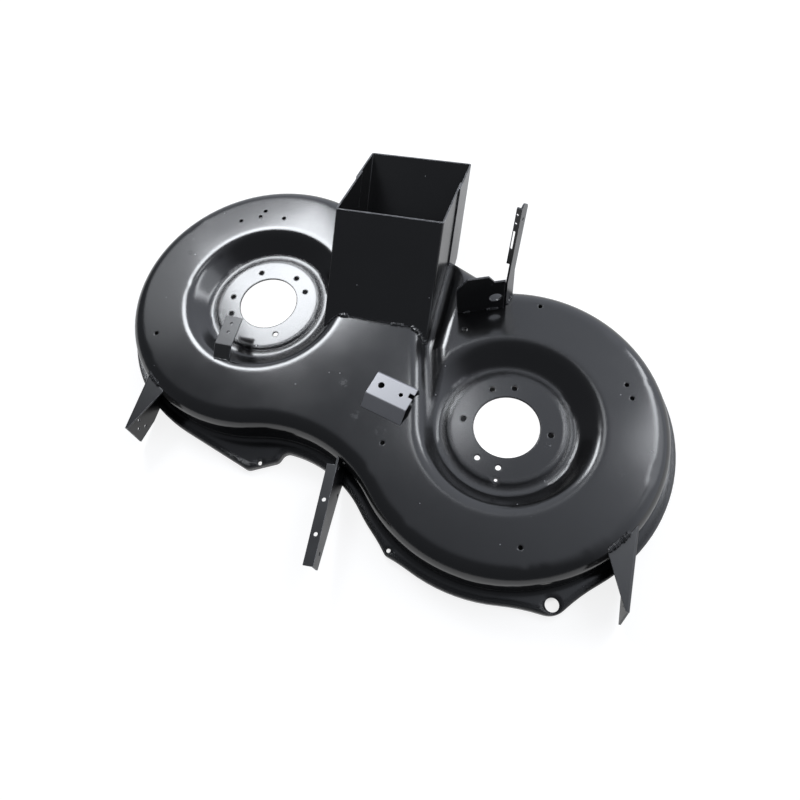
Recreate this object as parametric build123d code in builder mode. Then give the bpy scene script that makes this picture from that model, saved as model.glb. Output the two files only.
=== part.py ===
"""Twin-blade mower deck: a pressed two-lobe shell, a rear discharge chute and welded brackets.

Sizes are millimetres. X runs to the right, Y to the rear and Z up from the skirt's lower lip.
The origin lies under the middle of the deck's overall width and length.
"""

import os
from math import atan2, cos, hypot, radians, sin, sqrt, tan

from build123d import *

# Driving dimensions of the pressed shell
sheet = 2.5  # thickness of the pressed sheet
spindle_across = 442.0  # between the spindles, side to side
spindle_stagger = 144.0  # how far the right spindle sits ahead of the left one
spindle_ahead = 19.5  # middle of the spindle line, in front of the origin
lobe_radius = 236.0  # outer wall around each spindle
waist_radius = 212.0  # hollow of the front wall between the lobes
deck_height = 78.0  # crown of the shell above the lip
shoulder_radius = 24.0  # roll from the crown down to the wall

# Spindle dishes
disc_height = 54.0
disc_radius = 90.0
groove_depth = 4.0
groove_width = 12.0
dish_slope = 45.0  # lean of the dish wall from upright, degrees
rim_radius = 24.0
dish_corner_radius = 9.0
spindle_opening = 100.0
bolt_circle = 133.0
bolt_hole = 8.5
right_bolt_turn = 0.0  # turn of the bolt holes about each spindle, degrees
left_bolt_turn = -60.0
drain_hole = 5.0
drain_reach = 86.0  # drain hole in front of the right spindle

# Valley that runs from the right dish back beside the chute
valley_floor_width = 8.0
valley_depth = 16.0
valley_corner_radius = 5.0
valley_lean = 15.0  # turn of the front stretch from straight back, degrees
valley_rear_offset = 4.0  # rear stretch's middle, right of the chute's wall
valley_rear_start = 30.0  # behind the spindle line's middle

# Skirt: a flange round the foot of the wall, with a turned-down lip and three tabs
flange_height = 14.0
flange_width = 19.0
lip_flat = 3.0  # flat that breaks the lip's upper edge
rear_corner_bearing = 102.0  # where the rear edge leaves the right lobe, degrees
rear_corner_rise = 47.0  # from there back to the edge at the chute's right wall
rear_corner_skew = 19.0  # and from there to the edge at its left wall
rear_blend = 60.0
left_tab_straight = 96.0  # end of the left tab's straight edge, left of the waist's middle
left_tab_end = 60.0
left_tab_hole = (83.0, 19.0)  # left of the waist's middle, and in from the straight edge
tab_corner = 12.0
small_hole = 6.5
hang_tab_bearing = -65.0  # about the right spindle, degrees
hang_tab_reach = -14.0  # ear's middle past the skirt's edge
hang_tab_ear = 31.5
hang_tab_hole = 20.0
hang_tab_hole_out = 18.0  # hole's middle, outward of the ear's
guard_tab_bearing = -122.0
guard_tab_reach = -2.0
guard_tab_ear = 8.0
ear_blend = 300.0  # hollow from an ear into the skirt's edge

# Holes in the crown, as radius and bearing about each spindle
left_crown_holes = ((175, 124), (173, 112), (184, 109), (165, 97), (192, -146))
right_crown_holes = ((206, 86), (170, 124), (186, 30), (186, 23), (188, -74), (188, -157))

# Discharge chute: two channels, the rear one lapped over the front one
chute_width = 182.0
chute_middle = -19.0
chute_foot = 58.0  # where the front plate meets the crown, behind the spindle line's middle
chute_slope = 37.8  # degrees
chute_length = 166.3  # front plate, from the crown to its lip
chute_depth = 173.4
mouth_slope = 20.0  # fall of the mouth towards the rear, degrees
chute_seam = 95.0  # depth at which the rear channel starts
chute_lap = 18.0
chute_bend = 4.0

# Front corner brackets: a three-cornered top folded down along its outer edge
plate = 3.0  # thickness of bracket plate
bend = 4.0  # outer radius of a bracket's folds
bracket_drop = 8.0  # bracket's top below the crown
bracket_hole = 6.0
bracket_foot = 3.0  # lowest point above the lip
bracket_nose = 14.0  # lower corner of the tip above the lip
bracket_heel = 41.0  # from the tip back to the lowest point
left_bracket_out = 146.0  # fold, outward of the left spindle
left_bracket_tip = 41.0  # tip in front of the lobe's foremost point
left_bracket_slant = 2.0  # tip's lower corner in front of its upper one
right_bracket_out = 203.0
right_bracket_tip = -7.0
right_bracket_slant = 10.0
bracket_tip_width = 6.0
bracket_inner_reach = 72.0  # tip back to where the inner edge meets the wall
bracket_inner_width = 37.0
bracket_holes = ((13.0, 35.0), (24.0, 49.0), (24.0, 25.0))  # behind the tip, and below the top

# Front centre arm: an angle standing out from the waist
arm_across = 37.0  # from the waist's middle, along the spindle line
arm_heading = -86.0  # degrees
arm_length = 178.0
arm_drop = 14.0  # arm's top below the crown
arm_flange = 16.0
arm_notch = 15.0  # gap between the flange's end and the wall
arm_tip_height = 28.0
arm_heel = (57.0, 52.0)  # bend in the web's lower edge: along the arm, and below its top
arm_root_reach = 32.0
arm_flange_holes = (80.0, 132.0)  # along the arm
arm_web_holes = ((60.0, 43.0), (156.0, 18.0), (25.0, 11.0))  # along the arm, and below its top

# Rear cross plate and rear arm, standing on the right lobe
cross_left = 73.7  # plate's left end, left of the arm's foot
cross_front = 21.1  # and in front of it
cross_heading = 20.0
cross_length = 90.0
cross_left_height = 63.0
cross_height = 85.0
cross_step_height = 70.0
cross_chamfer = 18.0
cross_step = (50.0, 59.0)  # start and end of the step, along the plate
cross_hole = 20.0
cross_hole_place = (61.0, 30.0)
rear_arm_inset = 39.0  # arm's foot, in from the lobe's wall
rear_arm_bearing = 101.7
rear_arm_heading = 78.0
rear_arm_width = 28.0
rear_arm_height = 194.0  # front corner above the crown
rear_arm_top_fall = 24.0  # rear corner below the front one
rear_arm_knee = 60.0  # height at which the front edge starts to lean back
rear_arm_lean = 0.31  # travel to the rear for each millimetre up
rear_arm_toe = 4.0
rear_arm_top_radius = 10.0
rear_arm_hole_drop = 36.0  # hole in the arm's face, below its top
rear_arm_flange = 8.0
rear_arm_flange_foot = 95.0  # heights above the crown
rear_arm_flange_top = 184.0
rear_arm_flange_holes = (10.0, 24.0)  # below the flange's top
rear_arm_flange_hole = 4.0
rear_arm_slot_place = 52.0
rear_arm_slot = (32.0, 3.5)  # length and width

# Bracket on the crown between the lobes
crown_bracket_place = (61.0, 49.0)  # along the spindle line, and in front of it
crown_bracket_heading = -15.0
crown_bracket_length = 70.0
crown_bracket_depth = 39.0
crown_bracket_height = 14.0
crown_bracket_slope = 16.0
crown_bracket_holes = ((-19.0, 1.0, 10.0), (16.0, 0.0, 6.5))  # along, to the rear, width
crown_bracket_notch = (8.0, 7.0)
crown_bracket_notch_back = 5.0  # notch's middle, to the rear of the bracket's middle

# Bracket over the left dish
dish_bracket_width = 29.0
dish_bracket_length = 54.0
dish_bracket_out = 30.0  # middle, outward of the left spindle
dish_bracket_height = 11.0
dish_bracket_bend = 23.0  # bend inside the dish's edge
dish_bracket_slope = 18.0
dish_bracket_holes = (14.0, 30.0)  # from the rear end
dish_bracket_hole = 5.0

# Places that follow from the dimensions above
right_spindle = (spindle_across / 2, -spindle_ahead - spindle_stagger / 2)
left_spindle = (-spindle_across / 2, -spindle_ahead + spindle_stagger / 2)
half_spacing = hypot(spindle_across, spindle_stagger) / 2
spindle_line = atan2(-spindle_stagger, spindle_across)
chute_start = chute_foot - spindle_ahead
groove_floor = disc_height - groove_depth
dish_floor_radius = disc_radius + groove_depth + groove_width
rim_edge = dish_floor_radius + (deck_height - groove_floor) * tan(radians(dish_slope))
skirt_radius = lobe_radius + flange_width
waist_centre_distance = sqrt((lobe_radius + waist_radius) ** 2 - half_spacing**2)
waist_distance = waist_centre_distance - waist_radius
chute_left = chute_middle - chute_width / 2
chute_right = chute_middle + chute_width / 2
above = deck_height  # how far cutting shapes reach past the face they cut
buried = 8 * sheet  # how far a piece is drawn into the shell before it is trimmed to it


def along(right_of_middle, in_front):
    """The point at a distance along the spindle line, to the right, and in front of that line."""
    c = cos(spindle_line)
    s = sin(spindle_line)
    x = right_of_middle * c + in_front * s
    y = right_of_middle * s - in_front * c
    return (x, y - spindle_ahead)


def around(centre, radius, bearing):
    """The point at a radius and a bearing in degrees about a centre."""
    turn = radians(bearing)
    return (centre[0] + radius * cos(turn), centre[1] + radius * sin(turn))


def toward(start, end, distance):
    """The point at a distance from the start on the line to the end."""
    share = distance / hypot(end[0] - start[0], end[1] - start[1])
    return (start[0] + (end[0] - start[0]) * share, start[1] + (end[1] - start[1]) * share)


def upright(place, height, heading):
    """An upright plane: x runs along the heading, y up, and its face looks right of the heading."""
    c = cos(radians(heading))
    s = sin(radians(heading))
    return Plane(origin=(*place, height), x_dir=(c, s, 0), z_dir=(s, -c, 0))


os.makedirs("parts", exist_ok=True)

# Plan outline of the shell's wall
waist_centre = along(0, waist_centre_distance)
waist_right = toward(right_spindle, waist_centre, lobe_radius)
waist_left = toward(left_spindle, waist_centre, lobe_radius)
left_end_rise = sqrt(lobe_radius**2 - (chute_left - left_spindle[0]) ** 2)
left_end = (chute_left, left_spindle[1] + left_end_rise)
right_end = around(right_spindle, lobe_radius, rear_corner_bearing)
rear_corner_right = right_end[1] + rear_corner_rise
rear_corner_left = rear_corner_right + rear_corner_skew

with BuildSketch() as outline:
    with BuildLine():
        ThreePointArc(right_end, around(right_spindle, lobe_radius, 0), waist_right)
        ThreePointArc(waist_right, along(0, waist_distance), waist_left)
        ThreePointArc(waist_left, around(left_spindle, lobe_radius, 180), left_end)
        Polyline(left_end, (chute_left, rear_corner_left), (chute_right, rear_corner_right), right_end)
    make_face()
    fillet(outline.vertices().sort_by_distance(right_end)[0], rear_blend)

# Section of a spindle dish, from its axis outward
disc_edge = (disc_radius, disc_height)
groove_inner = (disc_radius + groove_depth, groove_floor)
groove_outer = (dish_floor_radius, groove_floor)
dish_rim = (rim_edge, deck_height)
with BuildSketch() as dish_section:
    with BuildLine():
        Polyline(
            (0, disc_height),
            disc_edge,
            groove_inner,
            groove_outer,
            dish_rim,
            (rim_edge + rim_radius, deck_height),
            (rim_edge + rim_radius, deck_height + above),
            (0, deck_height + above),
            close=True,
        )
    make_face()
    fillet(dish_section.vertices().sort_by_distance(groove_outer)[0], dish_corner_radius)
    fillet(dish_section.vertices().sort_by_distance(dish_rim)[0], rim_radius)

# Section across the valley, symmetrical about its middle
valley_floor = deck_height - valley_depth
valley_edge = valley_floor_width / 2 + valley_depth * tan(radians(dish_slope))
valley_corner = (valley_floor_width / 2, valley_floor)
valley_rim = (valley_edge, deck_height)
with BuildSketch() as valley_section:
    with BuildLine():
        Polyline(
            (0, valley_floor),
            valley_corner,
            valley_rim,
            (valley_edge + rim_radius, deck_height),
            (valley_edge + rim_radius, deck_height + above),
            (0, deck_height + above),
            close=True,
        )
    make_face()
    fillet(valley_section.vertices().sort_by_distance(valley_rim)[0], rim_radius)
    fillet(valley_section.vertices().sort_by_distance(valley_corner)[0], valley_corner_radius)
    mirror(about=Plane.YZ)

# The front stretch's left edge is tangent to the right dish's edge
valley_edge_start = around(right_spindle, rim_edge, 180 + valley_lean)
valley_stretches = (
    (toward(valley_edge_start, right_spindle, valley_edge), 90 + valley_lean),
    ((chute_right + valley_rear_offset, valley_rear_start - spindle_ahead), 90),
)


def deck_volume(inset):
    """The solid under the shell's outer face, or under its inner face when inset by the sheet."""
    with BuildPart() as volume:
        with BuildSketch(Plane.XY.offset(-inset)):
            add(outline.sketch)
            if inset:
                offset(amount=-inset)
        extrude(amount=deck_height)
        crown = volume.faces().sort_by(Axis.Z)[-1]
        shoulder = crown.edges().filter_by(
            lambda edge: not (chute_left - 2 * sheet < edge.center().X < chute_right)
            or edge.center().Y < 0
        )
        fillet(shoulder, shoulder_radius - inset)
        for spindle in (left_spindle, right_spindle):
            with BuildSketch(upright(spindle, 0, 0)):
                add(dish_section.sketch)
                if inset:
                    offset(amount=inset, kind=Kind.INTERSECTION)
                beyond_axis = (Align.MAX, Align.CENTER)
                Rectangle(rim_edge, 6 * deck_height, align=beyond_axis, mode=Mode.SUBTRACT)
            revolve(axis=Axis((*spindle, 0), (0, 0, 1)), mode=Mode.SUBTRACT)
        for start, heading in valley_stretches:
            with BuildSketch(upright(start, 0, heading - 90)):
                add(valley_section.sketch)
                if inset:
                    offset(amount=inset, kind=Kind.INTERSECTION)
            extrude(amount=-2 * lobe_radius, mode=Mode.SUBTRACT)
    return volume.part


# Plan of the skirt: the wall's outline grown by the flange, and the tabs
hang_tab_radius = skirt_radius + hang_tab_reach
guard_tab_radius = skirt_radius + guard_tab_reach
right_tabs = (
    (hang_tab_bearing, hang_tab_radius, hang_tab_ear),
    (guard_tab_bearing, guard_tab_radius, guard_tab_ear),
)
right_tab_holes = (
    (hang_tab_bearing, hang_tab_radius + hang_tab_hole_out, hang_tab_hole),
    (guard_tab_bearing, guard_tab_radius, small_hole),
)
left_tab_cut = left_tab_straight - left_tab_end
cut_inset = sqrt(2) - 1  # shift of a half-square corner for each millimetre of inset


def skirt_sketch(inset):
    """The skirt's plan: the wall's outline grown by the flange, with its tabs, all inset."""
    edge_radius = skirt_radius - inset
    tab_shoulder = along(-left_tab_straight - cut_inset * inset, edge_radius)
    tab_tip = along(-left_tab_end - inset, skirt_radius - left_tab_cut - cut_inset * inset)
    tab_root = along(-left_tab_end - inset, waist_distance + flange_width - inset)
    rear_root = (chute_left + flange_width - inset, rear_corner_left + flange_width - inset)
    with BuildSketch() as plan:
        add(outline.sketch)
        offset(amount=flange_width - inset)
        with BuildLine():
            Polyline(
                along(-half_spacing, edge_radius),
                tab_shoulder,
                tab_tip,
                along(-left_tab_end - inset, waist_distance),
                along(-half_spacing, waist_distance),
                close=True,
            )
        make_face()
        fillet(plan.vertices().sort_by_distance(tab_shoulder)[0], tab_corner - inset)
        fillet(plan.vertices().sort_by_distance(tab_tip)[0], tab_corner - inset)
        fillet(plan.vertices().sort_by_distance(tab_root)[0], tab_corner + inset)
        fillet(plan.vertices().sort_by_distance(rear_root)[0], tab_corner + inset)
        for bearing, radius, ear in right_tabs:
            ear_middle = around(right_spindle, radius, bearing)
            with Locations(Location((*ear_middle, 0), (0, 0, bearing))):
                Circle(ear - inset)
            fillet(plan.vertices().sort_by_distance(ear_middle)[:2], ear_blend + inset)
    return plan.sketch


def skirt_volume(inset):
    """The solid under the skirt's flange, or under its inner face when inset by the sheet."""
    with BuildPart() as skirt:
        with BuildSketch(Plane.XY.offset(-inset)):
            add(skirt_sketch(inset))
        extrude(amount=flange_height)
        lip_edge = skirt.faces().sort_by(Axis.Z)[-1].edges()
        chamfer(lip_edge, lip_flat - (2 - sqrt(2)) * inset)
    return skirt.part


outer_volume = deck_volume(0)
inner_volume = deck_volume(sheet)
skirt_outer = skirt_volume(0)
skirt_inner = skirt_volume(sheet)
deck_body = outer_volume + skirt_outer

# The chute's section plane: x to the right, y from the front plate to the rear plate, z up the chute
rise = radians(chute_slope)
chute_plane = Plane(
    origin=(chute_middle, chute_start, deck_height),
    x_dir=(1, 0, 0),
    z_dir=(0, cos(rise), sin(rise)),
)
fall = radians(mouth_slope)
mouth_plane = Plane(
    origin=(
        chute_middle,
        chute_start + chute_length * cos(rise),
        deck_height + chute_length * sin(rise),
    ),
    x_dir=(1, 0, 0),
    z_dir=(0, sin(fall), cos(fall)),
)
chute_reach = chute_length + chute_depth + lobe_radius
front_middle = (Align.CENTER, Align.MIN)

with BuildPart() as deck_shell:
    add(outer_volume)
    add(skirt_outer)
    add(inner_volume, mode=Mode.SUBTRACT)
    add(skirt_inner, mode=Mode.SUBTRACT)
    # The way through to the chute, and the gap that it leaves in the skirt
    with BuildSketch(chute_plane):
        with Locations((0, sheet)):
            Rectangle(chute_width - 4 * sheet, chute_depth - 2 * sheet, align=front_middle)
    extrude(amount=chute_reach, both=True, mode=Mode.SUBTRACT)
    with BuildSketch(Plane.XY.offset(-above)):
        with Locations((chute_middle, 0)):
            Rectangle(chute_width, 2 * lobe_radius, align=front_middle)
    extrude(amount=above + flange_height, mode=Mode.SUBTRACT)
    # Spindle openings, each with a square and a three-hole bolt pattern that share one hole
    for spindle, turn in ((left_spindle, left_bolt_turn), (right_spindle, right_bolt_turn)):
        with Locations((*spindle, disc_height)):
            Hole(spindle_opening / 2)
            for count in (4, 3):
                with PolarLocations(bolt_circle / 2, count, start_angle=turn):
                    Hole(bolt_hole / 2)
    with Locations((right_spindle[0], right_spindle[1] - drain_reach, disc_height)):
        Hole(drain_hole / 2)
    # Small holes in the crown, and the holes in the tabs
    for spindle, places in ((left_spindle, left_crown_holes), (right_spindle, right_crown_holes)):
        with Locations([(*around(spindle, *place), deck_height) for place in places]):
            Hole(small_hole / 2)
    with Locations((*along(-left_tab_hole[0], skirt_radius - left_tab_hole[1]), flange_height)):
        Hole(small_hole / 2)
    for bearing, radius, hole in right_tab_holes:
        with Locations((*around(right_spindle, radius, bearing), flange_height)):
            Hole(hole / 2)
deck_shell.part.label = "deck_shell"
export_step(deck_shell.part, "parts/deck_shell.step")

with BuildPart() as chute_front_channel:
    with BuildSketch(chute_plane) as front_section:
        Rectangle(chute_width - 2 * sheet, chute_seam + chute_lap, align=front_middle)
        fillet(front_section.vertices().group_by(Axis.Y)[0], chute_bend)
        with BuildSketch(mode=Mode.SUBTRACT) as front_hollow:
            with Locations((0, sheet)):
                Rectangle(chute_width - 4 * sheet, chute_seam + chute_lap, align=front_middle)
            fillet(front_hollow.vertices().group_by(Axis.Y)[0], chute_bend - sheet)
    extrude(amount=chute_reach, both=True)
    split(bisect_by=mouth_plane, keep=Keep.BOTTOM)
    split(bisect_by=Plane.XY.offset(flange_height), keep=Keep.TOP)
    add(deck_body, mode=Mode.SUBTRACT)
chute_front_channel.part.label = "chute_front_channel"
export_step(chute_front_channel.part, "parts/chute_front_channel.step")

with BuildPart() as chute_rear_channel:
    with BuildSketch(chute_plane) as rear_section:
        with Locations((0, chute_seam)):
            Rectangle(chute_width, chute_depth - chute_seam, align=front_middle)
        fillet(rear_section.vertices().group_by(Axis.Y)[-1], chute_bend)
        with BuildSketch(mode=Mode.SUBTRACT) as rear_hollow:
            with Locations((0, chute_depth - sheet)):
                Rectangle(chute_width - 2 * sheet, chute_depth, align=(Align.CENTER, Align.MAX))
            fillet(rear_hollow.vertices().group_by(Axis.Y)[-1], chute_bend - sheet)
    extrude(amount=chute_reach, both=True)
    split(bisect_by=mouth_plane, keep=Keep.BOTTOM)
    split(bisect_by=Plane.XY.offset(flange_height), keep=Keep.TOP)
    add(deck_body, mode=Mode.SUBTRACT)
chute_rear_channel.part.label = "chute_rear_channel"
export_step(chute_rear_channel.part, "parts/chute_rear_channel.step")

bracket_top = deck_height - bracket_drop


def front_bracket(fold, inward, tip, slant):
    """A front corner bracket with its fold at x = fold; inward is 1 or -1 for the side it faces."""
    inner_root = tip + bracket_inner_reach
    root = tip + 2 * bracket_inner_reach
    with BuildPart() as bracket:
        with BuildSketch(Plane.XY.offset(bracket_top)):
            with BuildLine():
                Polyline(
                    (fold, root),
                    (fold, tip),
                    (fold + inward * bracket_tip_width, tip),
                    (fold + inward * bracket_inner_width, inner_root),
                    (fold + inward * bracket_inner_width, root),
                    close=True,
                )
            make_face()
        extrude(amount=-plate)
        with BuildSketch(Plane.YZ.offset(fold)):
            with BuildLine():
                Polyline(
                    (root, bracket_top),
                    (tip, bracket_top),
                    (tip, bracket_top - 2 * bend),
                    (tip - slant, bracket_nose),
                    (tip + bracket_heel, bracket_foot),
                    (root, bracket_foot),
                    close=True,
                )
            make_face()
            with Locations([(tip + back, bracket_top - below) for back, below in bracket_holes]):
                Circle(bracket_hole / 2, mode=Mode.SUBTRACT)
        extrude(amount=inward * plate)
        fold_edge = bracket.edges().filter_by(Axis.Y).group_by(Axis.Z)[-1].sort_by(Axis.X)
        fillet(fold_edge[0] if inward > 0 else fold_edge[-1], bend)
        add(deck_body, mode=Mode.SUBTRACT)
    return bracket.part


front_left_bracket = front_bracket(
    fold=left_spindle[0] - left_bracket_out,
    inward=1,
    tip=left_spindle[1] - lobe_radius - left_bracket_tip,
    slant=left_bracket_slant,
)
front_left_bracket.label = "front_left_bracket"
export_step(front_left_bracket, "parts/front_left_bracket.step")

front_right_bracket = front_bracket(
    fold=right_spindle[0] + right_bracket_out,
    inward=-1,
    tip=right_spindle[1] - lobe_radius - right_bracket_tip,
    slant=right_bracket_slant,
)
front_right_bracket.label = "front_right_bracket"
export_step(front_right_bracket, "parts/front_right_bracket.step")

arm_top = deck_height - arm_drop
arm_root = along(arm_across, waist_distance - buried / 2)
arm_web_plane = upright(arm_root, arm_top, arm_heading)

with BuildPart() as front_centre_arm:
    with BuildSketch(arm_web_plane):
        with BuildLine():
            Polyline(
                (0, 0),
                (arm_length, 0),
                (arm_length, -arm_tip_height),
                (arm_heel[0], -arm_heel[1]),
                (arm_root_reach, bracket_foot - arm_top),
                (0, bracket_foot - arm_top),
                close=True,
            )
        make_face()
        with Locations([(reach, -drop) for reach, drop in arm_web_holes]):
            Circle(small_hole / 2, mode=Mode.SUBTRACT)
    extrude(amount=plate)
    flange_plane = Plane(origin=arm_web_plane.origin, x_dir=arm_web_plane.x_dir, z_dir=(0, 0, 1))
    with BuildSketch(flange_plane):
        with Locations((arm_length, 0)):
            flange_length = arm_length - arm_notch - buried / 2
            Rectangle(flange_length, arm_flange, align=(Align.MAX, Align.MAX))
        with Locations([(reach, -arm_flange / 2) for reach in arm_flange_holes]):
            Circle(small_hole / 2, mode=Mode.SUBTRACT)
    extrude(amount=-plate)
    add(deck_body, mode=Mode.SUBTRACT)
front_centre_arm.part.label = "front_centre_arm"
export_step(front_centre_arm.part, "parts/front_centre_arm.step")

rear_arm_foot = around(right_spindle, lobe_radius - rear_arm_inset, rear_arm_bearing)
rear_arm_plane = upright(rear_arm_foot, deck_height, rear_arm_heading)
lean_length = hypot(1, rear_arm_lean)
rear_arm_across = rear_arm_width * lean_length
rear_arm_rear_height = rear_arm_height - rear_arm_top_fall


def rear_arm_front(height):
    """The arm's front edge at a height above the crown."""
    return rear_arm_toe + max(0, height - rear_arm_knee) * rear_arm_lean


# The flange's front face: x up along its edge from its top corner, y to the left
flange_top_corner = (rear_arm_front(rear_arm_flange_top), rear_arm_flange_top, 0)
rear_arm_flange_plane = Plane(
    origin=rear_arm_plane.from_local_coords(flange_top_corner),
    x_dir=rear_arm_plane.x_dir * rear_arm_lean + Vector(0, 0, 1),
    z_dir=Vector(0, 0, rear_arm_lean) - rear_arm_plane.x_dir,
)
rear_arm_flange_middle = (rear_arm_flange + plate) / 2

with BuildPart() as rear_arm:
    with BuildSketch(rear_arm_plane) as arm_face:
        with BuildLine():
            Polyline(
                (rear_arm_toe, -buried),
                (rear_arm_toe, rear_arm_knee),
                (rear_arm_front(rear_arm_height), rear_arm_height),
                (rear_arm_front(rear_arm_rear_height) + rear_arm_across, rear_arm_rear_height),
                (rear_arm_front(rear_arm_knee) + rear_arm_across, rear_arm_knee),
                (rear_arm_toe + rear_arm_across, -buried),
                close=True,
            )
        make_face()
        fillet(arm_face.vertices().sort_by(Axis.Y)[-2:], rear_arm_top_radius)
        hole_height = rear_arm_height - rear_arm_hole_drop
        with Locations((rear_arm_front(hole_height) + rear_arm_across / 2, hole_height)):
            Circle(small_hole / 2, mode=Mode.SUBTRACT)
    extrude(amount=-plate)
    # Flange along the upper part of the front edge, bent to the left
    with BuildSketch(rear_arm_plane):
        with BuildLine():
            Polyline(
                (rear_arm_front(rear_arm_flange_foot), rear_arm_flange_foot),
                (rear_arm_front(rear_arm_flange_top), rear_arm_flange_top),
                (rear_arm_front(rear_arm_flange_top) + plate * lean_length, rear_arm_flange_top),
                (rear_arm_front(rear_arm_flange_foot) + plate * lean_length, rear_arm_flange_foot),
                close=True,
            )
        make_face()
    extrude(amount=-rear_arm_flange)
    with BuildSketch(rear_arm_flange_plane):
        with Locations([(-below, rear_arm_flange_middle) for below in rear_arm_flange_holes]):
            Circle(rear_arm_flange_hole / 2)
        with Locations((-rear_arm_slot_place, rear_arm_flange_middle)):
            SlotOverall(*rear_arm_slot)
    extrude(amount=-2 * plate, mode=Mode.SUBTRACT)
    add(deck_body, mode=Mode.SUBTRACT)
rear_arm.part.label = "rear_arm"
export_step(rear_arm.part, "parts/rear_arm.step")

cross_root = (rear_arm_foot[0] - cross_left, rear_arm_foot[1] - cross_front)
with BuildPart() as rear_cross_plate:
    with BuildSketch(upright(cross_root, deck_height, cross_heading)):
        with BuildLine():
            Polyline(
                (0, -buried),
                (0, cross_left_height),
                (cross_chamfer, cross_height),
                (cross_step[0], cross_height),
                (cross_step[1], cross_step_height),
                (cross_length, cross_step_height),
                (cross_length, -buried),
                close=True,
            )
        make_face()
        with Locations(cross_hole_place):
            Circle(cross_hole / 2, mode=Mode.SUBTRACT)
    extrude(amount=plate)
    split(bisect_by=rear_arm_plane.offset(-plate), keep=Keep.BOTTOM)
    add(deck_body, mode=Mode.SUBTRACT)
rear_cross_plate.part.label = "rear_cross_plate"
export_step(rear_cross_plate.part, "parts/rear_cross_plate.step")

crown_middle = along(*crown_bracket_place)
crown_right_end = around(crown_middle, crown_bracket_length / 2, crown_bracket_heading)
crown_half_depth = crown_bracket_depth / 2
crown_under = crown_bracket_height - sheet
crown_slope_run = crown_bracket_slope * (1 + buried / crown_under)
with BuildPart() as crown_bracket:
    with BuildSketch(upright(crown_right_end, deck_height, crown_bracket_heading - 90)):
        with BuildLine():
            FilletPolyline(
                (-crown_half_depth, -buried),
                (-crown_half_depth, crown_under),
                (crown_half_depth, crown_under),
                (crown_half_depth + crown_slope_run, -buried),
                radius=sheet,
            )
            offset(amount=sheet, side=Side.LEFT)
        make_face()
    extrude(amount=crown_bracket_length)
    crown_top_plane = Plane(
        origin=(*crown_middle, deck_height + crown_bracket_height),
        x_dir=(cos(radians(crown_bracket_heading)), sin(radians(crown_bracket_heading)), 0),
        z_dir=(0, 0, 1),
    )
    with BuildSketch(crown_top_plane):
        for right, back, width in crown_bracket_holes:
            with Locations((right, back)):
                Circle(width / 2)
        with Locations((crown_bracket_length / 2, crown_bracket_notch_back)):
            Rectangle(2 * crown_bracket_notch[0], crown_bracket_notch[1])
    extrude(amount=-2 * sheet, mode=Mode.SUBTRACT)
    add(deck_body, mode=Mode.SUBTRACT)
crown_bracket.part.label = "crown_bracket"
export_step(crown_bracket.part, "parts/crown_bracket.step")

dish_bracket_middle = left_spindle[0] - dish_bracket_out
dish_bracket_front = left_spindle[1] - rim_edge + dish_bracket_bend
dish_bracket_right = (dish_bracket_middle + dish_bracket_width / 2, dish_bracket_front)
dish_under = dish_bracket_height - sheet
dish_slope_run = dish_bracket_slope * buried / dish_bracket_height
dish_bracket_rear = dish_bracket_front + dish_bracket_length
with BuildPart() as dish_bracket:
    with BuildSketch(upright(dish_bracket_right, deck_height, -90)):
        with BuildLine():
            FilletPolyline(
                (-dish_bracket_length, dish_under),
                (0, dish_under),
                (dish_slope_run, dish_under - buried),
                radius=sheet,
            )
            offset(amount=sheet, side=Side.LEFT)
        make_face()
    extrude(amount=dish_bracket_width)
    dish_bracket_top = deck_height + dish_bracket_height
    for back in dish_bracket_holes:
        with Locations((dish_bracket_middle, dish_bracket_rear - back, dish_bracket_top)):
            Hole(dish_bracket_hole / 2)
    add(deck_body, mode=Mode.SUBTRACT)
dish_bracket.part.label = "dish_bracket"
export_step(dish_bracket.part, "parts/dish_bracket.step")
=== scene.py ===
import math
import random

import bpy
from mathutils import Matrix, Quaternion, Vector
from mathutils.bvhtree import BVHTree


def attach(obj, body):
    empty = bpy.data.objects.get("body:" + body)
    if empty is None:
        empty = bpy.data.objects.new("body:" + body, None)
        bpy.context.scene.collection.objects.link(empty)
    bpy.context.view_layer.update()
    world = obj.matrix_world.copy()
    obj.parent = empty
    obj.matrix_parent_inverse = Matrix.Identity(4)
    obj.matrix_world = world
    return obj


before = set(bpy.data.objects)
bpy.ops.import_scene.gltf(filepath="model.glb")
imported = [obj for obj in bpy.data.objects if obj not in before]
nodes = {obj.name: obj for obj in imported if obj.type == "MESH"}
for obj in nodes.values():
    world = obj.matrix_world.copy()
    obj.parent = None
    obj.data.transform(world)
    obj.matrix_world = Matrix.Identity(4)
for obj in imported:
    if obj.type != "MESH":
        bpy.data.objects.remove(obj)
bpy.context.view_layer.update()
scene = bpy.context.scene
scene.view_settings.view_transform = "Standard"
rng = random.Random(7)

# Places on the part, in metres: x to the right, y to the rear, z up
MIDDLE = Vector((0.0, -0.0195, 0.0))  # middle of the line between the two spindles
LEFT = MIDDLE + Vector((-0.221, 0.072, 0.0))  # left spindle
RIGHT = MIDDLE + Vector((0.221, -0.072, 0.0))  # right spindle
UP = Vector((0.0, 0.0, 1.0))
CROWN = 0.078  # height of the shell's flat top
DISH = 0.054  # height of the dishes' floors
CROWN_HOLES = (  # x and y of the small holes in the crown
    (-0.380, -0.055),
    (-0.319, 0.198),
    (-0.286, 0.213),
    (-0.281, 0.226),
    (-0.241, 0.216),
    (0.048, -0.165),
    (0.126, 0.049),
    (0.235, 0.114),
    (0.273, -0.272),
    (0.382, 0.002),
    (0.392, -0.019),
)

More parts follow.
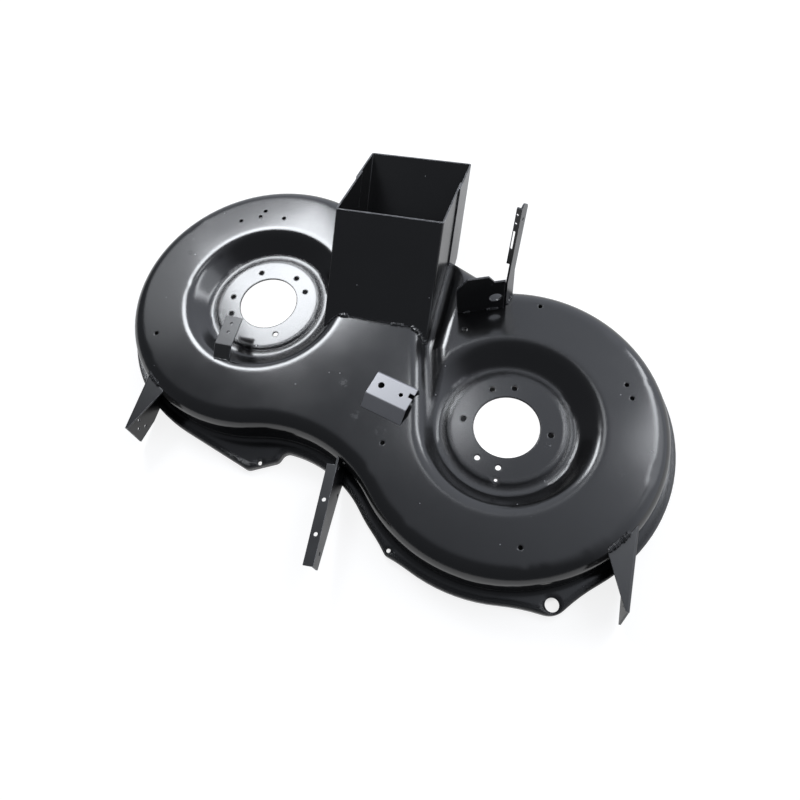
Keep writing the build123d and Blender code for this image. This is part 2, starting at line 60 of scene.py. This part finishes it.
# Marks on the shell: x, y, z and radius
SMUDGES = (
    (-0.0388, -0.0802, 0.078, 0.012),
    (-0.0043, -0.1306, 0.078, 0.011),
    (0.0399, -0.1464, 0.078, 0.011),
)
SCUFFS = (
    (0.2866, -0.1081, 0.054, 0.008),
    (0.3904, -0.1379, 0.078, 0.006),
)
MARK_CORE = 0.35  # the part of a mark's radius that it covers in full


# Materials
class Net:
    """A small helper that adds and links shader nodes."""

    def __init__(self, tree):
        self.tree = tree
        tree.nodes.clear()

    def add(self, kind, inputs=None, **settings):
        node = self.tree.nodes.new("ShaderNode" + kind)
        for name, value in settings.items():
            setattr(node, name, value)
        for name, value in (inputs or {}).items():
            if isinstance(value, bpy.types.NodeSocket):
                self.tree.links.new(value, node.inputs[name])
            else:
                node.inputs[name].default_value = value
        return node

    def math(self, operation, *values, clamp=False):
        inputs = dict(enumerate(values))
        return self.add("Math", inputs, operation=operation, use_clamp=clamp).outputs[0]

    def noise(self, place, scale, detail=2.0, rough=0.5):
        inputs = {"Vector": place, "Scale": scale, "Detail": detail, "Roughness": rough}
        return self.add("TexNoise", inputs).outputs["Fac"]

    def ramp(self, value, low, high, to_low=0.0, to_high=1.0):
        inputs = {
            "Value": value,
            "From Min": low,
            "From Max": high,
            "To Min": to_low,
            "To Max": to_high,
        }
        settings = {"clamp": True, "interpolation_type": "SMOOTHSTEP"}
        return self.add("MapRange", inputs, **settings).outputs[0]

    def disc(self, place, centre, full, none):
        """1 within a distance of a place, falling to 0 at a larger one."""
        inputs = {0: place, 1: centre}
        gap = self.add("VectorMath", inputs, operation="DISTANCE").outputs["Value"]
        return self.ramp(gap, full, none, 1.0, 0.0)

    def most(self, values):
        """The largest of several values."""
        total = values[0]
        for value in values[1:]:
            total = self.math("MAXIMUM", total, value)
        return total

    def marks(self, place, spots):
        """1 at the middle of each mark, falling to 0 at its radius."""
        return self.most(
            [self.disc(place, s[:3], s[3] * MARK_CORE, s[3]) for s in spots]
        )


# Scales of the paint's patterns, per metre
PEEL_SCALE = 420.0
WAVE_SCALE = 16.0
WHORL_SCALE = 220.0
SMUDGE_SCALE = 120.0
SCUFF_SCALE = 330.0
DUST_SCALE = 62.0
FILM_SCALE = 7.0
EDGE_SCALE = 90.0

# Relief of the paint
PEEL_HEIGHT = 0.10
WAVE_HEIGHT = 0.40
BUMP = {"Strength": 0.10, "Distance": 0.002}

# How far each mark lightens the paint towards PALE, and how far it dulls it
FILM_LIGHT = 0.005
DUST_LIGHT = 0.45
SMUDGE_LIGHT = 0.060
SCUFF_LIGHT = 0.25
SMUDGE_DULL = 0.07
DUST_DULL = 0.5
PALE = (0.62, 0.62, 0.64, 1.0)
BLUE_CAST = 1.03  # blue of the paint's grey over its red and green
PAINT_IOR = 1.72

# Bends are softened everywhere but at the holes and on the dishes' floors
HOLE_SHARP = (0.013, 0.022)
DISH_SHARP = (0.078, 0.088)
EDGE_SAMPLES = 6
ROLL_SAMPLES = 16


def paint(name, base, bevel, edge_light, smooth, dull, roll=0.0, metal=0.0):
    """A coat with orange peel, dust, smudges, scuffs and worn edges.

    base is its grey, and bevel the radius that its shading gives to edges.
    wear lightens the edges, for worn paint and, on the weld beads, also as painted glints;
    smooth and dull bound its roughness.
    roll is a larger radius for the bends of the pressed shell.
    metal above 0 makes it look like satin metal.
    """
    material = bpy.data.materials.new(name)
    material.use_nodes = True
    net = Net(material.node_tree)
    place = net.add("TexCoord").outputs["Object"]
    rounded = net.add("Bevel", {"Radius": bevel}, samples=EDGE_SAMPLES).outputs["Normal"]
    flat = net.add("NewGeometry").outputs["Normal"]

    # Relief
    peel = net.math("MULTIPLY", net.noise(place, PEEL_SCALE, 2.0), PEEL_HEIGHT)
    wave = net.math("MULTIPLY", net.noise(place, WAVE_SCALE, 1.0), WAVE_HEIGHT)
    height = net.math("ADD", peel, wave)
    bent = rounded
    if roll:
        broad = net.add("Bevel", {"Radius": roll}, samples=ROLL_SAMPLES).outputs["Normal"]
        sharp = [net.disc(place, (x, y, CROWN), *HOLE_SHARP) for x, y in CROWN_HOLES]
        for spindle in (LEFT, RIGHT):
            sharp.append(net.disc(place, (spindle.x, spindle.y, DISH), *DISH_SHARP))
        mix = {"Factor": net.most(sharp), "A": broad, "B": rounded}
        bent = net.add("Mix", mix, data_type="VECTOR").outputs["Result"]
    bump = net.add("Bump", {**BUMP, "Height": height, "Normal": bent}).outputs["Normal"]

    # Fingerprint smudges, broken scuffs, specks of dust and a faint uneven film
    whorl = net.add(
        "TexWave",
        {"Vector": place, "Scale": WHORL_SCALE, "Distortion": 6.0, "Detail": 1.0},
        wave_type="RINGS",
    ).outputs["Fac"]
    patchy = net.ramp(net.noise(place, SMUDGE_SCALE, 3.0, 0.6), 0.44, 0.58)
    smudge = net.marks(place, SMUDGES)
    smudge = net.math("MULTIPLY", smudge, net.ramp(whorl, 0.15, 0.8, 0.25, 1.0))
    smudge = net.math("MULTIPLY", smudge, patchy)
    broken = net.ramp(net.noise(place, SCUFF_SCALE, 3.0, 0.7), 0.60, 0.66)
    scuff = net.math("MULTIPLY", net.marks(place, SCUFFS), broken)
    cells = net.add("TexVoronoi", {"Vector": place, "Scale": DUST_SCALE, "Randomness": 1.0})
    rare = net.ramp(cells.outputs["Color"], 0.80, 0.84)
    speck = net.ramp(cells.outputs["Distance"], 0.045, 0.075, 1.0, 0.0)
    dust = net.math("MULTIPLY", speck, rare)
    film = net.noise(place, FILM_SCALE, 5.0, 0.6)

    # Edges lightened where the softened normal leaves the face's own: worn paint, and on the
    # weld beads also painted glints
    turned = {0: rounded, 1: flat}
    turn = net.add("VectorMath", turned, operation="DOT_PRODUCT").outputs["Value"]
    edge_patches = net.ramp(net.noise(place, EDGE_SCALE, 4.0, 0.7), 0.34, 0.64)
    edge = net.math("MULTIPLY", net.ramp(turn, 0.80, 0.99, 1.0, 0.0), edge_patches)

    # Colour and roughness
    light = net.math("MULTIPLY", film, FILM_LIGHT)
    light = net.math("ADD", light, net.math("MULTIPLY", dust, DUST_LIGHT))
    light = net.math("ADD", light, net.math("MULTIPLY", smudge, SMUDGE_LIGHT))
    light = net.math("ADD", light, net.math("MULTIPLY", scuff, SCUFF_LIGHT))
    light = net.math("ADD", light, net.math("MULTIPLY", edge, edge_light), clamp=True)
    grey = (base, base, base * BLUE_CAST, 1.0)
    colour = net.add("Mix", {"Factor": light, "A": grey, "B": PALE}, data_type="RGBA")
    rough = net.ramp(film, 0.3, 0.7, smooth, dull)
    rough = net.math("ADD", rough, net.math("MULTIPLY", smudge, SMUDGE_DULL))
    rough = net.math("ADD", rough, net.math("MULTIPLY", dust, DUST_DULL), clamp=True)
    shader = net.add(
        "BsdfPrincipled",
        {
            "Base Color": colour.outputs["Result"],
            "Roughness": rough,
            "Metallic": metal,
            "IOR": PAINT_IOR,
            "Normal": bump,
        },
    )
    net.add("OutputMaterial", {"Surface": shader.outputs[0]})
    return material


pressed_paint = paint(
    "pressed_paint", base=0.0042, bevel=0.0030, edge_light=0.03, smooth=0.14, dull=0.19, roll=0.0115
)
chute_paint = paint(
    "chute_paint", base=0.0055, bevel=0.0014, edge_light=0.95, smooth=0.20, dull=0.27
)
bracket_paint = paint(
    "bracket_paint", base=0.0120, bevel=0.0012, edge_light=0.85, smooth=0.30, dull=0.40
)
crown_paint = paint(
    "crown_paint", base=0.3800, bevel=0.0012, edge_light=0.80, smooth=0.34, dull=0.42, metal=0.85
)
weld_paint = paint(
    "weld_paint", base=0.0100, bevel=0.0004, edge_light=0.55, smooth=0.06, dull=0.12
)
coats = {"deck_shell": pressed_paint, "crown_bracket": crown_paint}
for name, node in nodes.items():
    plain = chute_paint if "chute" in name else bracket_paint
    node.data.materials.clear()
    node.data.materials.append(coats.get(name, plain))

# Weld beads
shell = nodes["deck_shell"].data
shell_tree = BVHTree.FromPolygons(
    [v.co for v in shell.vertices], [p.vertices[:] for p in shell.polygons]
)
ABOVE = 0.3  # a height above all of the part, to look down from
CHUTE_FOOT = 0.0385  # y where the chute's front plate meets the crown
CHUTE_RISE = math.tan(math.radians(37.8))  # the plate's rise over its run
CHUTE_OUT = Vector((0.0, -CHUTE_RISE, 1.0)).normalized()
CHUTE_BEHIND = 0.004  # how far behind the foot the search for the seam starts
CHUTE_STEP = 0.0005  # and the steps in which it comes forward
SHOULDER_REACH = 0.25  # a distance from a spindle that is outside the lobe
SHOULDER_HEIGHT = 0.0715  # height of the beads on the shoulders
CROSS_OUT = (0.342, -0.94, 0.0)  # the ways that the welded plates face
ARM_OUT = (0.978, -0.208, 0.0)
STRIP_OUT = (0.0, -0.8, 0.5)

AROUND = 10  # corners around a bead
RIPPLE_LENGTH = 0.0036
RIPPLE = 0.20  # shares of a bead's half width by which it ripples, swells and sways
LUMP = 0.18
SWAY = 0.20
SWELL = (0.82, 1.18)
BLUNT = 0.02  # how closely a bead's ends draw together
FULL_TURN = 6.2832  # two roundings of a turn; the beads' shapes rest on both
RIPPLE_TURN = 6.28


def drop(x, y):
    """The shell's upper face under a point, and which way it faces."""
    return shell_tree.ray_cast(Vector((x, y, ABOVE)), -UP)[:2]


def seam(start, end, lean, count=9):
    """Points on the shell along a plate's foot, with directions halfway to its face."""
    points = []
    for i in range(count):
        place, facing = drop(*(Vector(start).lerp(Vector(end), i / (count - 1))))
        points.append((place, (facing + Vector(lean)).normalized()))
    return points


def chute_seam(x_start, x_end, count=15):
    """The same where the chute's front plate meets the crown and enters the valley."""
    points = []
    for i in range(count):
        x = x_start + (x_end - x_start) * i / (count - 1)
        y = CHUTE_FOOT + CHUTE_BEHIND
        place, facing = drop(x, y)
        while place is None or place.z < CROWN + (y - CHUTE_FOOT) * CHUTE_RISE:
            y -= CHUTE_STEP
            place, facing = drop(x, y)
        points.append((place, (facing + CHUTE_OUT).normalized()))
    return points


def shoulder_seam(spindle, turn_start, turn_end, count=15):
    """The same along the shoulder of a lobe, at one height."""
    points = []
    for i in range(count):
        turn = math.radians(turn_start + (turn_end - turn_start) * i / (count - 1))
        out = Vector((math.cos(turn), math.sin(turn), 0.0))
        start = spindle + out * SHOULDER_REACH + UP * SHOULDER_HEIGHT
        place, facing = shell_tree.ray_cast(start, -out)[:2]
        points.append((place, (facing + UP).normalized()))
    return points


def round_seam(x, y, radius, count=25):
    """A small circle on the shell's upper face."""
    turns = [2.0 * math.pi * i / (count - 1) for i in range(count)]
    return [drop(x + radius * math.cos(turn), y + radius * math.sin(turn)) for turn in turns]


def bead(name, points, wide, tall=0.7, step=0.0010):
    """A rippled weld bead along points, of half width wide; tall is its height over that."""
    trail = [points[0]]
    for (p, n), (q, m) in zip(points, points[1:]):
        parts = max(1, round((q - p).length / step))
        for i in range(1, parts + 1):
            trail.append((p.lerp(q, i / parts), n.lerp(m, i / parts).normalized()))
    last = len(trail) - 1
    phase = rng.uniform(0.0, RIPPLE_TURN)
    corners = []
    for i, (p, n) in enumerate(trail):
        ahead = (trail[min(i + 1, last)][0] - trail[max(i - 1, 0)][0]).normalized()
        side = ahead.cross(n).normalized()
        out = side.cross(ahead)
        end = min(i, last - i) * step / wide
        taper = math.sqrt(max(BLUNT, 1.0 - (1.0 - min(1.0, end)) ** 2))
        wave = math.sin(i * step / RIPPLE_LENGTH * RIPPLE_TURN + phase)
        ripple = 1.0 + RIPPLE * wave + rng.uniform(-LUMP, LUMP)
        sway = side * rng.uniform(-SWAY, SWAY) * wide
        for k in range(AROUND):
            turn = FULL_TURN * k / AROUND
            lift = out * math.sin(turn) * tall
            swell = wide * taper * ripple * rng.uniform(*SWELL)
            corners.append(p + sway + (side * math.cos(turn) + lift) * swell)
    faces = []
    for i in range(last):
        for k in range(AROUND):
            a = i * AROUND + k
            b = i * AROUND + (k + 1) % AROUND
            faces.append((a, b, b + AROUND, a + AROUND))
    faces.append(tuple(range(AROUND))[::-1])
    faces.append(tuple(range(len(corners) - AROUND, len(corners))))
    mesh = bpy.data.meshes.new(name)
    mesh.from_pydata(corners, [], faces)
    mesh.materials.append(weld_paint)
    piece = bpy.data.objects.new(name, mesh)
    scene.collection.objects.link(piece)
    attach(piece, "root")


bead("weld_chute_left", chute_seam(-0.083, -0.064), 0.0046)
bead("weld_chute_middle", chute_seam(0.006, 0.030), 0.0032)
bead("weld_chute_right", chute_seam(0.040, 0.068), 0.0050)
bead("weld_front_left", shoulder_seam(LEFT, 230.5, 239.0), 0.0038)
bead("weld_front_right", shoulder_seam(RIGHT, -43.5, -33.0), 0.0042)
bead("weld_cross_left", seam((0.116, 0.0799), (0.128, 0.0843), CROSS_OUT), 0.0024)
bead("weld_cross_right", seam((0.152, 0.0930), (0.171, 0.1000), CROSS_OUT), 0.0034)
bead("weld_rear_arm", seam((0.1830, 0.1065), (0.1885, 0.1320), ARM_OUT), 0.0026)
bead("weld_dish_bracket", seam((-0.2640, -0.0800), (-0.2380, -0.0800), STRIP_OUT), 0.0022)
bead("ring_mark", round_seam(-0.3863, 0.1138, 0.0036), 0.0006)

# Floor: a painted shadow beneath the deck, with painted pools of light where light falls
# through the spindle openings
FLOOR_REACH = 9
FLOOR_HEIGHT = -0.0004  # just below the deck's lowest faces
FLOOR_GREY = (0.28, 0.28, 0.28, 1.0)
FLOOR_GLOW = 0.84
GLOSSY_SHARE = 0.65  # how much of the glow shows in reflections
LIGHT_POOL_GAIN = 1.25  # how much brighter the glow is in the painted pools of light under the openings
WHITE = (1.0, 1.0, 1.0, 1.0)
PAINTED_SHADOW_DISCS = (  # painted shadow beneath the deck: middle, radius in full and radius where it ends
    (LEFT, 0.235, 0.255),
    (MIDDLE, 0.14, 0.16),
    (RIGHT, 0.235, 0.255),
)
# Painted pools of light where light falls through the spindle openings: middle, radius in
# full and radius where it ends
PAINTED_LIGHT_POOLS = (
    (LEFT, 0.052, 0.056),
    (RIGHT, 0.052, 0.056),
    ((-0.2490, 0.0835, 0.0), 0.056, 0.060),
    ((0.2150, -0.0625, 0.0), 0.056, 0.060),
    ((0.2150, -0.1065, 0.0), 0.056, 0.060),
)
mesh = bpy.data.meshes.new("floor")
corners = [
    (x * FLOOR_REACH, y * FLOOR_REACH, FLOOR_HEIGHT)
    for x, y in ((-1, -1), (1, -1), (1, 1), (-1, 1))
]
mesh.from_pydata(corners, [], [(0, 1, 2, 3)])
floor = bpy.data.objects.new("floor", mesh)
scene.collection.objects.link(floor)
material = bpy.data.materials.new("studio_floor")
material.use_nodes = True
net = Net(material.node_tree)
path = net.add("LightPath")
seen = net.math("MULTIPLY", path.outputs["Is Glossy Ray"], GLOSSY_SHARE)
seen = net.math("MAXIMUM", seen, path.outputs["Is Camera Ray"])
seen = net.math("MAXIMUM", seen, path.outputs["Is Transmission Ray"])
place = net.add("TexCoord").outputs["Object"]
# The glow is cut to a painted shadow beneath the deck, except in the painted pools of light
painted_shadow = net.most([net.disc(place, *patch) for patch in PAINTED_SHADOW_DISCS])
painted_light_pool = net.most([net.disc(place, *patch) for patch in PAINTED_LIGHT_POOLS])
unshadowed = net.math("SUBTRACT", 1.0, painted_shadow)
glow_after_painted_shade = net.math("MAXIMUM", unshadowed, net.math("MULTIPLY", painted_light_pool, LIGHT_POOL_GAIN))
level = net.math("MULTIPLY", net.math("MULTIPLY", seen, glow_after_painted_shade), FLOOR_GLOW)
shade = net.add("BsdfDiffuse", {"Color": FLOOR_GREY})
glow = net.add("Emission", {"Color": WHITE, "Strength": level})
both = net.add("AddShader", {0: shade.outputs[0], 1: glow.outputs[0]})
net.add("OutputMaterial", {"Surface": both.outputs[0]})
mesh.materials.append(material)

# World: pale behind and to the right of the object, dimmer in front and to the left
PALE_RIGHT = 0.50  # the way to the palest part of the sky
PALE_REAR = 0.87
SKY_FADE = (-0.15, 0.65)
SKY_LEVELS = (0.15, 1.10)
SKY_TINT = (0.89, 0.94, 1.05, 1.0)
world = bpy.data.worlds.new("studio")
scene.world = world
world.use_nodes = True
net = Net(world.node_tree)
path = net.add("LightPath")
heading = net.add("SeparateXYZ", {0: net.add("TexCoord").outputs["Generated"]})
rear = net.math("MULTIPLY", heading.outputs["Y"], PALE_REAR)
right = net.math("MULTIPLY", heading.outputs["X"], PALE_RIGHT)
level = net.ramp(net.math("ADD", rear, right), *SKY_FADE, *SKY_LEVELS)
level = net.math("MAXIMUM", level, path.outputs["Is Camera Ray"])
tints = {"Factor": path.outputs["Is Camera Ray"], "A": SKY_TINT, "B": WHITE}
tint = net.add("Mix", tints, data_type="RGBA").outputs["Result"]
sky = net.add("Background", {"Color": tint, "Strength": level})
net.add("OutputWorld", {"Surface": sky.outputs[0]})

# Studio lights
LAMP_TINT = (0.93, 0.96, 1.0)


def softbox(name, azimuth, elevation, distance, wide, tall, level, turn=0.0):
    """A rectangular light that looks at MIDDLE; azimuth turns from the rear to the right."""
    a = math.radians(azimuth)
    e = math.radians(elevation)
    way = Vector((math.sin(a) * math.cos(e), math.cos(a) * math.cos(e), math.sin(e)))
    lamp = bpy.data.lights.new(name, "AREA")
    lamp.shape = "RECTANGLE"
    lamp.size = wide
    lamp.size_y = tall
    lamp.energy = level * math.pi * wide * tall
    lamp.color = LAMP_TINT
    light = bpy.data.objects.new(name, lamp)
    light.location = MIDDLE + way * distance
    light.rotation_mode = "QUATERNION"
    roll = Quaternion((0, 0, 1), math.radians(turn))
    light.rotation_quaternion = way.to_track_quat("Z", "Y") @ roll
    scene.collection.objects.link(light)


# name, azimuth and elevation in degrees, distance, width and height in metres, level, turn
softbox("left_softbox", -42.0, 48.3, 1.9, 0.54, 0.45, 14.0)
softbox("left_panel", -46, 41, 2.0, 1.10, 0.50, 1.3)
softbox("right_strip", 46.5, 45, 1.9, 0.30, 1.10, 7.2, 18)
softbox("right_panel", 68, 40, 2.0, 0.80, 0.90, 1.0)
softbox("top_lamp", -9, 69.5, 1.9, 0.25, 0.27, 5.2)

# Camera, as fitted to the photograph; aim is the dishes' middle as the camera sees it
view_right = Vector((0.962083, 0.250885, -0.107022))
view_down = Vector((0.184593, -0.887752, -0.421688))
view_ahead = Vector((-0.200804, 0.385943, -0.900403))
aim = Vector((-0.030638, -0.064728, 1.060923))
centre = MIDDLE + Vector((0.0, 0.0, DISH))
eye = centre - view_right * aim.x - view_down * aim.y - view_ahead * aim.z
camera_data = bpy.data.cameras.new("camera")
camera_data.sensor_width = 36.0
camera_data.lens = 29.406
camera_data.shift_x = 0.0022
camera_data.shift_y = 0.0006
camera = bpy.data.objects.new("camera", camera_data)
axes = Matrix((view_right, -view_down, -view_ahead)).transposed()
camera.matrix_world = Matrix.Translation(eye) @ axes.to_4x4()
scene.collection.objects.link(camera)
scene.camera = camera
